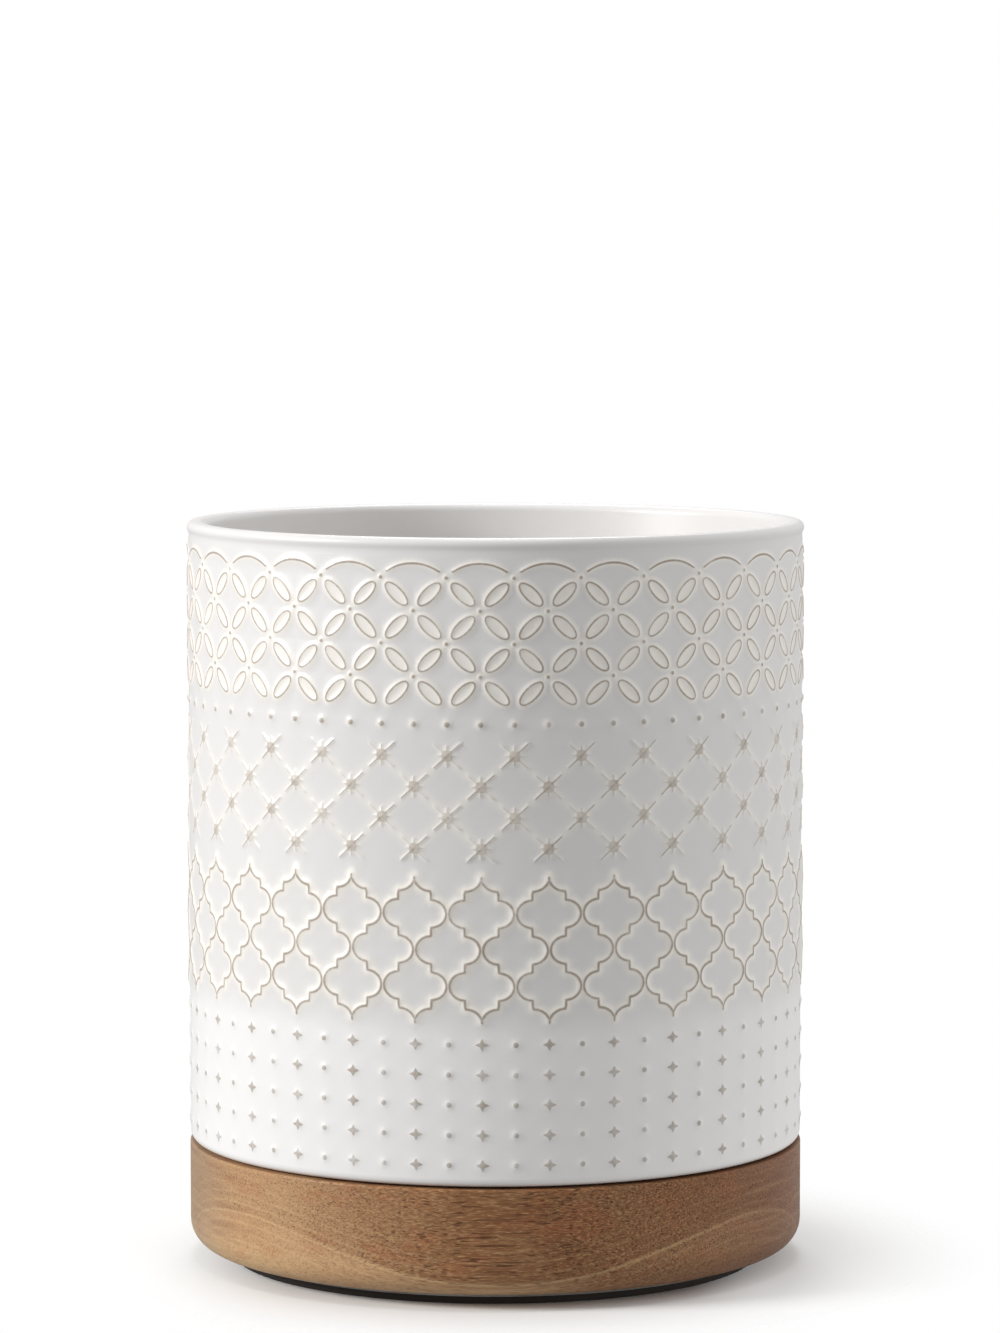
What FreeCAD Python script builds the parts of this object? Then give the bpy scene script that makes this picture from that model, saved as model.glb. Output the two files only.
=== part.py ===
import FreeCAD, Part
import math
import os

import Sketcher

# Utensil crock on a turning base. A glazed stoneware crock stands loose in a recess of a turned
# wooden base. The base turns on a ball bearing above a steel foot plate, and the plate stands on
# a rubber ring. +Z is the turning axis, and the origin is on the table, on that axis.

# Driving sizes in millimetres, with counts and shares: alias, value, meaning.
SIZES = (
    ("crock_radius", 77.5, "outside of the crock's wall"),
    ("crock_height", 155.8, "crock's wall, from its shoulder to its rim"),
    ("crock_wall", 5, "thickness of that wall, which the rim rounds over"),
    ("crock_floor", 8, "thickness of the crock's floor"),
    ("crock_corner", 8, "round inside, between the floor and the wall"),
    ("crock_edge", 2, "round outside, between the wall and the shoulder"),
    ("stand_width", 11, "width of the ring that the crock stands on"),
    ("stand_depth", 2, "depth of the hollow inside that ring"),
    ("stand_bevel", 1, "bevel round the outside of that ring"),
    ("seat_clearance", 0.4, "room round the crock's foot in the base"),
    ("seam_gap", 0.5, "shadow seam between the crock's shoulder and the wood"),
    ("pad_count", 4, "silicone pads under the crock"),
    ("pad_radius", 5, "radius of a pad"),
    ("pad_thickness", 1, "thickness of a pad"),
    ("base_setback", 0.25, "how far the wood lies inside the crock's wall"),
    ("base_rim", 5, "width of the wood round the crock's foot"),
    ("base_recess", 8.5, "depth of the recess for the crock's foot"),
    ("base_web", 8.2, "wood between that recess and the bearing"),
    ("base_round", 6.5, "round under the base's outer edge"),
    ("base_edge", 0.6, "round on the base's top edges"),
    ("base_wall", 9.25, "wood between the bearing and the round under the base"),
    ("ball_count", 24, "balls in the bearing"),
    ("ball_radius", 2.5, "radius of a ball"),
    ("ball_clearance", 0.04, "room between a ball and its grooves"),
    ("race_gap_share", 0.56, "gap between the races, as a share of a ball"),
    ("race_shoulder", 0.7, "metal above and below the mouth of a groove"),
    ("race_step", 2.3, "how much higher the outer race sits than the inner one"),
    ("inner_race_width", 10.6, "width of the inner race"),
    ("outer_race_width", 10.6, "width of the outer race"),
    ("race_clearance", 0.5, "room round the outer race in the wood"),
    ("cage_wall_share", 0.64, "thickness of the cage, as a share of the gap between the races"),
    ("cage_rim", 0.9, "cage above and below a pocket"),
    ("pocket_clearance", 0.1, "room round a ball in its pocket"),
    ("plate_thickness", 0.8, "thickness of the foot plate"),
    ("plate_setback", 2.75, "how far the foot plate lies inside the flat of the base"),
    ("running_gap", 0.35, "gap between the foot plate and the wood that turns above it"),
    ("tread_height", 2.1, "rubber under the foot plate"),
    ("tread_width", 11, "width of the rubber ring"),
    ("tread_edge", 0.4, "round under the ring's outer edge"),
    ("tread_setback", 1.5, "how far the rubber ring lies inside the plate's edge"),
    ("base_screw_count", 4, "wood screws through the outer race"),
    ("base_screw_radius", 1.5, "radius of their shanks"),
    ("base_screw_head", 2.9, "radius of their heads"),
    ("base_screw_sink", 1.7, "depth of their sunk heads"),
    ("base_screw_point", 1.8, "length of their points"),
    ("base_screw_cover", 2.2, "wood left above their points"),
    ("foot_screw_count", 4, "screws through the foot plate"),
    ("foot_screw_radius", 1.5, "radius of their shanks"),
    ("foot_screw_head", 2.75, "radius of their heads"),
    ("foot_screw_floor_gap", 1.2, "clear height under their heads"),
    ("foot_screw_cover", 1.9, "metal left above their ends"),
    ("head_crown_share", 0.4, "bevel of a raised head, as a share of its height"),
    ("screw_clearance", 0.05, "room round a screw in its hole"),
    ("driver_length_share", 0.62, "reach of a driver slot, as a share of the head's radius"),
    ("driver_width_share", 0.14, "half width of a driver slot, as a share of the head's radius"),
    ("driver_depth_share", 0.55, "depth of a driver slot, as a share of the head's height"),
    ("overrun", 1, "how far a cut runs past the face that it opens"),
)

# Heights above the table, worked out upwards from the rubber ring.
PLATE_BOTTOM = "Sizes.tread_height"
PLATE_TOP = f"({PLATE_BOTTOM} + Sizes.plate_thickness)"
WOOD_BOTTOM = f"({PLATE_TOP} + Sizes.running_gap)"
GROOVE_RADIUS = "(Sizes.ball_radius + Sizes.ball_clearance)"
HALF_GAP = "(Sizes.ball_radius * Sizes.race_gap_share)"
HALF_MOUTH = f"sqrt({GROOVE_RADIUS} ^ 2 - {HALF_GAP} ^ 2)"
HALF_OVERLAP = f"({HALF_MOUTH} + Sizes.race_shoulder)"
OUTER_BOTTOM = f"({PLATE_TOP} + Sizes.race_step)"
BALL_HEIGHT = f"({OUTER_BOTTOM} + {HALF_OVERLAP})"
INNER_TOP = f"({BALL_HEIGHT} + {HALF_OVERLAP})"
OUTER_TOP = f"({INNER_TOP} + Sizes.race_step)"
RECESS_FLOOR = f"({OUTER_TOP} + Sizes.base_web)"
WOOD_TOP = f"({RECESS_FLOOR} + Sizes.base_recess)"
STAND = f"({RECESS_FLOOR} + Sizes.pad_thickness)"
UNDERSIDE = f"({STAND} + Sizes.stand_depth)"
CROCK_FLOOR = f"({UNDERSIDE} + Sizes.crock_floor)"
SHOULDER = f"({WOOD_TOP} + Sizes.seam_gap)"
RIM = f"({SHOULDER} + Sizes.crock_height)"

# Radii about the turning axis, worked out inwards from the crock's wall.
CROCK_INSIDE = "(Sizes.crock_radius - Sizes.crock_wall)"
BASE_RADIUS = "(Sizes.crock_radius - Sizes.base_setback)"
RECESS_RADIUS = f"({BASE_RADIUS} - Sizes.base_rim)"
FOOT_RADIUS = f"({RECESS_RADIUS} - Sizes.seat_clearance)"
STAND_INSIDE = f"({FOOT_RADIUS} - Sizes.stand_width)"
PAD_CIRCLE = f"({FOOT_RADIUS} - Sizes.stand_width / 2)"
FLAT_RADIUS = f"({BASE_RADIUS} - Sizes.base_round)"
PLATE_RADIUS = f"({FLAT_RADIUS} - Sizes.plate_setback)"
TREAD_RADIUS = f"({PLATE_RADIUS} - Sizes.tread_setback)"
BEARING_RADIUS = f"({FLAT_RADIUS} - Sizes.base_wall)"
OUTER_RADIUS = f"({BEARING_RADIUS} - Sizes.race_clearance)"
OUTER_INSIDE = f"({OUTER_RADIUS} - Sizes.outer_race_width)"
BALL_CIRCLE = f"({OUTER_INSIDE} - {HALF_GAP})"
OUTER_GROOVE = f"({BALL_CIRCLE} + {GROOVE_RADIUS})"
INNER_GROOVE = f"({BALL_CIRCLE} - {GROOVE_RADIUS})"
INNER_RADIUS = f"({BALL_CIRCLE} - {HALF_GAP})"
INNER_INSIDE = f"({INNER_RADIUS} - Sizes.inner_race_width)"

# Each screw circle runs midway across the solid part of its race.
BASE_SCREW_CIRCLE = f"(({OUTER_GROOVE} + {OUTER_RADIUS}) / 2)"
BASE_SCREW_HOLE = "(Sizes.base_screw_radius + Sizes.screw_clearance)"
BASE_SCREW_TIP = f"({RECESS_FLOOR} - Sizes.base_screw_cover)"
FOOT_SCREW_CIRCLE = f"(({INNER_GROOVE} + {INNER_INSIDE}) / 2)"
FOOT_SCREW_HOLE = "(Sizes.foot_screw_radius + Sizes.screw_clearance)"
FOOT_SCREW_TOP = f"({INNER_TOP} - Sizes.foot_screw_cover)"

AXIS = "0"
FULL_TURN = 360
FIRST_POCKET_ANGLE = 90

# Numbers by which a sketch knows its two axes and the points of an edge. The axis that runs
# across starts at the origin.
ACROSS_AXIS, UP_AXIS = range(-1, -3, -1)
START, END, CENTRE = range(1, 4)

doc = FreeCAD.newDocument("utensil_crock")
sheet = doc.addObject("Spreadsheet::Sheet", "Sizes")
for row, (alias, amount, meaning) in enumerate(SIZES, start=1):
    sheet.set(f"A{row}", meaning)
    sheet.set(f"B{row}", str(amount))
    sheet.setAlias(f"B{row}", alias)
doc.recompute()


def value(expression):
    """Number that an expression on the sheet comes to."""
    return float(sheet.evalExpression(expression))


def origin_feature(body, role):
    """Plane or axis of a body's own origin."""
    return next(item for item in body.Origin.OriginFeatures if item.Role == role)


def new_body(name):
    body = doc.addObject("PartDesign::Body", name)
    body.Label = name
    return body


def new_sketch(body, name, plane, lift=AXIS):
    """Sketch on one of the body's own planes, lifted along the plane's normal."""
    sketch = body.newObject("Sketcher::SketchObject", name)
    sketch.AttachmentSupport = (origin_feature(body, plane), [""])
    sketch.MapMode = "FlatFace"
    if lift != AXIS:
        sketch.setExpression("AttachmentOffset.Base.z", lift)
    return sketch


def tie(sketch, edge, point, kind, place):
    """Hold one coordinate of a sketch point at the place that an expression gives."""
    if place == AXIS:
        axis = UP_AXIS if kind == "DistanceX" else ACROSS_AXIS
        sketch.addConstraint(Sketcher.Constraint("PointOnObject", edge, point, axis))
        return
    distance = value(place)
    ends = [(ACROSS_AXIS, START), (edge, point)]
    if distance < 0:
        ends.reverse()
        place = f"-({place})"
    number = sketch.addConstraint(Sketcher.Constraint(kind, *ends[0], *ends[1], abs(distance)))
    sketch.setExpression(f"Constraints[{number}]", place)


def arc_between(first, last, centre_across):
    """Short arc between two points, with its centre at a given distance across."""
    spread = (first.x - centre_across) ** 2 - (last.x - centre_across) ** 2 + first.y ** 2 - last.y ** 2
    centre = FreeCAD.Vector(centre_across, spread / (2 * (first.y - last.y)), 0)
    circle = Part.Circle(centre, FreeCAD.Vector(0, 0, 1), (first - centre).Length)
    angles = [math.atan2(point.y - centre.y, point.x - centre.x) for point in (first, last)]
    forward = (first - centre).cross(last - centre).z > 0
    if not forward:
        angles.reverse()
    return Part.ArcOfCircle(circle, *angles), forward


def draw(sketch, corners, arcs=None):
    """Closed outline through corners, which are pairs of expressions, across and up.

    arcs gives, for the number of a corner, the centre of the arc that leads on from it.
    """
    arcs = arcs or {}
    points = [FreeCAD.Vector(value(across), value(up), 0) for across, up in corners]
    ends = []
    for number, first in enumerate(points):
        last = points[(number + 1) % len(points)]
        if number in arcs:
            curve, forward = arc_between(first, last, value(arcs[number]))
            ends.append((START, END) if forward else (END, START))
        else:
            curve = Part.LineSegment(first, last)
            ends.append((START, END))
        sketch.addGeometry(curve, False)
    for number, (across, up) in enumerate(corners):
        follower = (number + 1) % len(corners)
        joint = Sketcher.Constraint("Coincident", number, ends[number][1], follower, ends[follower][0])
        sketch.addConstraint(joint)
        tie(sketch, number, ends[number][0], "DistanceX", across)
        tie(sketch, number, ends[number][0], "DistanceY", up)
    for number, centre in arcs.items():
        tie(sketch, number, CENTRE, "DistanceX", centre)


def turn(body, name, corners, arcs=None):
    """Solid of revolution about the turning axis."""
    sketch = new_sketch(body, f"{name}_section", "XZ_Plane")
    draw(sketch, corners, arcs)
    solid = body.newObject("PartDesign::Revolution", name)
    solid.Profile = sketch
    solid.ReferenceAxis = (sketch, ["V_Axis"])
    solid.Angle = FULL_TURN
    doc.recompute()
    return solid


def repeat(body, name, features, count):
    """Copies of features, evenly round the turning axis."""
    pattern = body.newObject("PartDesign::PolarPattern", name)
    pattern.Originals = features
    pattern.Axis = (origin_feature(body, "Z_Axis"), [""])
    pattern.Angle = FULL_TURN
    pattern.setExpression("Occurrences", count)
    body.Tip = pattern
    doc.recompute()


def require_less(body, volume):
    """Stop if a cut took nothing away."""
    if body.Shape.Volume >= volume:
        raise RuntimeError(f"a cut in {body.Label} removes nothing")


def bore(body, circle, count, steps):
    """Turned holes round the axis: steps are radius and height pairs, going up a hole."""
    volume = body.Shape.Volume
    sketch = new_sketch(body, "hole_section", "XZ_Plane")
    corners = [(circle, steps[0][1])]
    corners += [(f"({circle} + {radius})", height) for radius, height in steps]
    corners.append((circle, steps[-1][1]))
    draw(sketch, corners)
    hole = body.newObject("PartDesign::Groove", "hole")
    hole.Profile = sketch
    hole.ReferenceAxis = (sketch, [f"Edge{len(corners)}"])
    hole.Angle = FULL_TURN
    repeat(body, "holes", [hole], count)
    require_less(body, volume)


def screws(name, circle, count, head_radius, head_height, steps, end):
    """Cross-slotted screws with their heads down.

    steps are radius and height pairs, going up a screw from its head to its end on its own axis.
    """
    body = new_body(name)
    sketch = new_sketch(body, "screw_section", "XZ_Plane")
    bottom = steps[0][1]
    corners = [(circle, bottom)]
    corners += [(f"({circle} + {radius})", height) for radius, height in steps]
    corners.append((circle, end))
    draw(sketch, corners)
    shank = body.newObject("PartDesign::Revolution", "screw")
    shank.Profile = sketch
    shank.ReferenceAxis = (sketch, [f"Edge{len(corners)}"])
    shank.Angle = FULL_TURN
    doc.recompute()
    volume = body.Shape.Volume
    slot_sketch = new_sketch(body, "slot_outline", "XY_Plane", bottom)
    reach = f"{head_radius} * Sizes.driver_length_share"
    half = f"{head_radius} * Sizes.driver_width_share"
    cross = (
        (reach, f"-{half}"), (reach, half), (half, half), (half, reach),
        (f"-{half}", reach), (f"-{half}", half), (f"-{reach}", half), (f"-{reach}", f"-{half}"),
        (f"-{half}", f"-{half}"), (f"-{half}", f"-{reach}"), (half, f"-{reach}"), (half, f"-{half}"),
    )
    draw(slot_sketch, [(f"({circle} + {across})", up) for across, up in cross])
    slot = body.newObject("PartDesign::Pocket", "slot")
    slot.Profile = slot_sketch
    slot.Reversed = True
    slot.setExpression("Length", f"{head_height} * Sizes.driver_depth_share")
    doc.recompute()
    require_less(body, volume)
    repeat(body, "copies", [shank, slot], count)
    return body


def crock():
    """Straight stoneware shell with a rounded rim and a stepped foot that sits in the wood."""
    body = new_body("crock")
    edge_start = "(Sizes.crock_radius - Sizes.crock_edge)"
    rim_middle = "(Sizes.crock_radius - Sizes.crock_wall / 2)"
    rim_spring = f"({RIM} - Sizes.crock_wall / 2)"
    floor_end = f"({CROCK_INSIDE} - Sizes.crock_corner)"
    corners = [
        (AXIS, UNDERSIDE),
        (STAND_INSIDE, UNDERSIDE),
        (STAND_INSIDE, STAND),
        (f"({FOOT_RADIUS} - Sizes.stand_bevel)", STAND),
        (FOOT_RADIUS, f"({STAND} + Sizes.stand_bevel)"),
        (FOOT_RADIUS, SHOULDER),
        (edge_start, SHOULDER),
        ("Sizes.crock_radius", f"({SHOULDER} + Sizes.crock_edge)"),
        ("Sizes.crock_radius", rim_spring),
        (rim_middle, RIM),
        (CROCK_INSIDE, rim_spring),
        (CROCK_INSIDE, f"({CROCK_FLOOR} + Sizes.crock_corner)"),
        (floor_end, CROCK_FLOOR),
        (AXIS, CROCK_FLOOR),
    ]
    arcs = {6: edge_start, 8: rim_middle, 9: rim_middle, 11: floor_end}
    turn(body, "shell", corners, arcs)
    return body


def seat_pads():
    """Silicone pads on the floor of the recess, under the ring that the crock stands on."""
    pads = []
    for number in range(round(value("Sizes.pad_count"))):
        pad = doc.addObject("Part::Cylinder", f"seat_pad_{number + 1}")
        pad.Label = pad.Name
        pad.setExpression("Radius", "Sizes.pad_radius")
        pad.setExpression("Height", "Sizes.pad_thickness")
        place_on_circle(pad, PAD_CIRCLE, f"{number} * {FULL_TURN} deg / Sizes.pad_count", RECESS_FLOOR)
        pads.append(pad)
    return pads


def place_on_circle(piece, circle, angle, height):
    """Bind a piece's place to a circle about the turning axis."""
    piece.setExpression("Placement.Base.x", f"{circle} * cos({angle})")
    piece.setExpression("Placement.Base.y", f"{circle} * sin({angle})")
    piece.setExpression("Placement.Base.z", height)


def wood_base():
    """Turned disc with a recess for the crock above and one for the bearing below."""
    body = new_body("wood_base")
    rim_inside = f"({RECESS_RADIUS} + Sizes.base_edge)"
    rim_outside = f"({BASE_RADIUS} - Sizes.base_edge)"
    edge_height = f"({WOOD_TOP} - Sizes.base_edge)"
    corners = [
        (AXIS, RECESS_FLOOR),
        (RECESS_RADIUS, RECESS_FLOOR),
        (RECESS_RADIUS, edge_height),
        (rim_inside, WOOD_TOP),
        (rim_outside, WOOD_TOP),
        (BASE_RADIUS, edge_height),
        (BASE_RADIUS, f"({WOOD_BOTTOM} + Sizes.base_round)"),
        (FLAT_RADIUS, WOOD_BOTTOM),
        (BEARING_RADIUS, WOOD_BOTTOM),
        (BEARING_RADIUS, OUTER_TOP),
        (AXIS, OUTER_TOP),
    ]
    arcs = {2: rim_inside, 4: rim_outside, 6: FLAT_RADIUS}
    turn(body, "disc", corners, arcs)
    pilot = [
        (BASE_SCREW_HOLE, f"({OUTER_TOP} - Sizes.overrun)"),
        (BASE_SCREW_HOLE, f"({BASE_SCREW_TIP} + Sizes.screw_clearance)"),
    ]
    bore(body, BASE_SCREW_CIRCLE, "Sizes.base_screw_count", pilot)
    return body


def outer_race_lower():
    """Lower half of the outer race, with sunk holes for the wood screws."""
    body = new_body("outer_race_lower")
    corners = [
        (OUTER_INSIDE, OUTER_BOTTOM),
        (OUTER_RADIUS, OUTER_BOTTOM),
        (OUTER_RADIUS, BALL_HEIGHT),
        (OUTER_GROOVE, BALL_HEIGHT),
        (OUTER_INSIDE, f"({BALL_HEIGHT} - {HALF_MOUTH})"),
    ]
    turn(body, "ring", corners, {3: BALL_CIRCLE})
    head_hole = "(Sizes.base_screw_head + Sizes.screw_clearance)"
    sunk = [
        (head_hole, f"({OUTER_BOTTOM} - Sizes.overrun)"),
        (head_hole, OUTER_BOTTOM),
        (BASE_SCREW_HOLE, f"({OUTER_BOTTOM} + Sizes.base_screw_sink)"),
        (BASE_SCREW_HOLE, f"({BALL_HEIGHT} + Sizes.overrun)"),
    ]
    bore(body, BASE_SCREW_CIRCLE, "Sizes.base_screw_count", sunk)
    return body


def outer_race_upper():
    """Upper half of the outer race, which bears on the wood."""
    body = new_body("outer_race_upper")
    corners = [
        (OUTER_GROOVE, BALL_HEIGHT),
        (OUTER_RADIUS, BALL_HEIGHT),
        (OUTER_RADIUS, OUTER_TOP),
        (OUTER_INSIDE, OUTER_TOP),
        (OUTER_INSIDE, f"({BALL_HEIGHT} + {HALF_MOUTH})"),
    ]
    turn(body, "ring", corners, {4: BALL_CIRCLE})
    through = [
        (BASE_SCREW_HOLE, f"({BALL_HEIGHT} - Sizes.overrun)"),
        (BASE_SCREW_HOLE, f"({OUTER_TOP} + Sizes.overrun)"),
    ]
    bore(body, BASE_SCREW_CIRCLE, "Sizes.base_screw_count", through)
    return body


def inner_race():
    """Inner race, which stands on the foot plate and takes its screws."""
    body = new_body("inner_race")
    corners = [
        (INNER_INSIDE, PLATE_TOP),
        (INNER_RADIUS, PLATE_TOP),
        (INNER_RADIUS, f"({BALL_HEIGHT} - {HALF_MOUTH})"),
        (INNER_RADIUS, f"({BALL_HEIGHT} + {HALF_MOUTH})"),
        (INNER_RADIUS, INNER_TOP),
        (INNER_INSIDE, INNER_TOP),
    ]
    turn(body, "ring", corners, {2: BALL_CIRCLE})
    tapped = [
        (FOOT_SCREW_HOLE, f"({PLATE_TOP} - Sizes.overrun)"),
        (FOOT_SCREW_HOLE, f"({FOOT_SCREW_TOP} + Sizes.screw_clearance)"),
    ]
    bore(body, FOOT_SCREW_CIRCLE, "Sizes.foot_screw_count", tapped)
    return body


def ball_cage():
    """Plastic sleeve between the races, with a round pocket for each ball."""
    body = new_body("ball_cage")
    half_wall = f"{HALF_GAP} * Sizes.cage_wall_share"
    pocket_radius = "(Sizes.ball_radius + Sizes.pocket_clearance)"
    half_height = f"({pocket_radius} + Sizes.cage_rim)"
    inside = f"({BALL_CIRCLE} - {half_wall})"
    outside = f"({BALL_CIRCLE} + {half_wall})"
    bottom = f"({BALL_HEIGHT} - {half_height})"
    top = f"({BALL_HEIGHT} + {half_height})"
    turn(body, "sleeve", [(inside, bottom), (outside, bottom), (outside, top), (inside, top)])
    volume = body.Shape.Volume
    sketch = new_sketch(body, "pocket_outline", "XZ_Plane")
    centre = FreeCAD.Vector(0, value(BALL_HEIGHT), 0)
    sketch.addGeometry(Part.Circle(centre, FreeCAD.Vector(0, 0, 1), value(pocket_radius)), False)
    tie(sketch, 0, CENTRE, "DistanceX", AXIS)
    tie(sketch, 0, CENTRE, "DistanceY", BALL_HEIGHT)
    number = sketch.addConstraint(Sketcher.Constraint("Radius", 0, value(pocket_radius)))
    sketch.setExpression(f"Constraints[{number}]", pocket_radius)
    pocket = body.newObject("PartDesign::Pocket", "pocket")
    pocket.Profile = sketch
    pocket.Type = "ThroughAll"
    doc.recompute()
    require_less(body, volume)
    repeat(body, "pockets", [pocket], "Sizes.ball_count")
    return body


def balls():
    """Steel balls in the pockets of the cage, which start on the +Y side."""
    made = []
    for number in range(round(value("Sizes.ball_count"))):
        ball = doc.addObject("Part::Sphere", f"ball_{number + 1:02d}")
        ball.Label = ball.Name
        ball.setExpression("Radius", "Sizes.ball_radius")
        angle = f"{FIRST_POCKET_ANGLE} deg + {number} * {FULL_TURN} deg / Sizes.ball_count"
        place_on_circle(ball, BALL_CIRCLE, angle, BALL_HEIGHT)
        made.append(ball)
    return made


def base_screws():
    """Wood screws, sunk in the lower half of the outer race."""
    steps = [
        ("Sizes.base_screw_head", OUTER_BOTTOM),
        ("Sizes.base_screw_radius", f"({OUTER_BOTTOM} + Sizes.base_screw_sink)"),
        ("Sizes.base_screw_radius", f"({BASE_SCREW_TIP} - Sizes.base_screw_point)"),
    ]
    head, sink, count = "Sizes.base_screw_head", "Sizes.base_screw_sink", "Sizes.base_screw_count"
    return screws("base_screws", BASE_SCREW_CIRCLE, count, head, sink, steps, BASE_SCREW_TIP)


def foot_screws():
    """Raised-head screws that hold the foot plate to the inner race."""
    bottom = "Sizes.foot_screw_floor_gap"
    head_height = f"({PLATE_BOTTOM} - {bottom})"
    crown = f"{head_height} * Sizes.head_crown_share"
    steps = [
        (f"(Sizes.foot_screw_head - {crown})", bottom),
        ("Sizes.foot_screw_head", f"({bottom} + {crown})"),
        ("Sizes.foot_screw_head", PLATE_BOTTOM),
        ("Sizes.foot_screw_radius", PLATE_BOTTOM),
        ("Sizes.foot_screw_radius", FOOT_SCREW_TOP),
    ]
    head, count = "Sizes.foot_screw_head", "Sizes.foot_screw_count"
    return screws("foot_screws", FOOT_SCREW_CIRCLE, count, head, head_height, steps, FOOT_SCREW_TOP)


def foot_plate():
    """Steel disc that carries the inner race."""
    body = new_body("foot_plate")
    corners = [
        (AXIS, PLATE_BOTTOM),
        (PLATE_RADIUS, PLATE_BOTTOM),
        (PLATE_RADIUS, PLATE_TOP),
        (AXIS, PLATE_TOP),
    ]
    turn(body, "disc", corners)
    through = [
        (FOOT_SCREW_HOLE, f"({PLATE_BOTTOM} - Sizes.overrun)"),
        (FOOT_SCREW_HOLE, f"({PLATE_TOP} + Sizes.overrun)"),
    ]
    bore(body, FOOT_SCREW_CIRCLE, "Sizes.foot_screw_count", through)
    return body


def foot_ring():
    """Rubber ring bonded under the plate, inside its edge."""
    body = new_body("foot_ring")
    inside = f"({TREAD_RADIUS} - Sizes.tread_width)"
    edge_start = f"({TREAD_RADIUS} - Sizes.tread_edge)"
    corners = [
        (inside, AXIS),
        (edge_start, AXIS),
        (TREAD_RADIUS, "Sizes.tread_edge"),
        (TREAD_RADIUS, PLATE_BOTTOM),
        (inside, PLATE_BOTTOM),
    ]
    turn(body, "ring", corners, {1: edge_start})
    return body


def write(parts):
    """Write each sub-part once the whole document is sound."""
    doc.recompute()
    failed = [item.Name for item in doc.Objects if {"Invalid", "Error"} & set(item.State)]
    failed += [part.Label for part in parts if part.Shape.isNull() or not part.Shape.isValid()]
    if failed:
        raise RuntimeError(f"not sound: {failed}")
    os.makedirs("parts", exist_ok=True)
    for part in parts:
        part.Shape.exportStep(f"parts/{part.Label}.step")
        print(part.Label, len(part.Shape.Solids), round(part.Shape.Volume, 2))


def main():
    parts = [crock(), *seat_pads(), wood_base(), outer_race_upper(), outer_race_lower(), inner_race()]
    parts += [ball_cage(), *balls(), base_screws(), foot_plate(), foot_screws(), foot_ring()]
    write(parts)


main()
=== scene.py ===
import math

import bmesh
import bpy
import numpy as np
from bpy.props import FloatProperty, FloatVectorProperty, IntProperty, PointerProperty
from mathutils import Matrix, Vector
from mathutils.geometry import delaunay_2d_cdt


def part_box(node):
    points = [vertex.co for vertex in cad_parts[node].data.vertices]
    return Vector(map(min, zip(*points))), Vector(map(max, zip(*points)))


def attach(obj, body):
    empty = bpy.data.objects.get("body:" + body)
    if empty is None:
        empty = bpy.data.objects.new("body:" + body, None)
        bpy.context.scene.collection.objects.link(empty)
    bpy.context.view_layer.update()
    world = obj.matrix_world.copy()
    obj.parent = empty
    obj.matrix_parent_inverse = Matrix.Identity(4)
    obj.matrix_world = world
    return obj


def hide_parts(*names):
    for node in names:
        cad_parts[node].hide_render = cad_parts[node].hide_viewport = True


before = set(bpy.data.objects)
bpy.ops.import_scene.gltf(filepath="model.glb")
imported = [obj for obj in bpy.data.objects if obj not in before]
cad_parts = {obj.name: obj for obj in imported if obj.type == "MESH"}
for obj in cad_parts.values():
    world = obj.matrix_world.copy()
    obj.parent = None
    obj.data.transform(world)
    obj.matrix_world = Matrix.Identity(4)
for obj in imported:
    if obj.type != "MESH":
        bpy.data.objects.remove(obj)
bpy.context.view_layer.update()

bl_info = {
    "name": "Utensil crock on a turning base",
    "version": (1, 0, 0),
    "blender": (4, 5, 0),
    "location": "3D View > Sidebar > Crock",
    "description": "Dresses the packed crock: embossed glaze, turned wood, bearing, foot and studio",
    "category": "Object",
}

CROCK_LOW, CROCK_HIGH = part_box("crock")
_, WOOD_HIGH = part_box("wood_base")

AXIS = Vector((0, 0, 1))
CENTRE = Vector((0, 0, 0))
SIDES = (1, -1)
# Rings that divide a flat round face, as shares of its radius
FLAT_RINGS = (0.6, 0.2, 0)
# A distance below this counts as nothing
TINY = 1e-9


def length(name, default, description):
    """A size in metres that a user may change."""
    return FloatProperty(name=name, default=default, description=description, unit="LENGTH", precision=5)


def share(name, default, description):
    """A part of a whole, from 0 to 1."""
    return FloatProperty(name=name, default=default, description=description, subtype="FACTOR", min=0, max=1)


def number_of(name, default, description):
    """A number of like things, at least one."""
    return IntProperty(name=name, default=default, description=description, min=1)


def angle(name, default, description):
    """An angle, given in degrees."""
    return FloatProperty(name=name, default=math.radians(default), description=description, subtype="ANGLE")


def colour(name, default, description):
    """A linear colour."""
    return FloatVectorProperty(
        name=name, default=default, description=description, subtype="COLOR", min=0, max=1
    )


def power(name, default, description):
    """Light power in watts."""
    return FloatProperty(name=name, default=default, description=description, unit="POWER", min=0)


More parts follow.
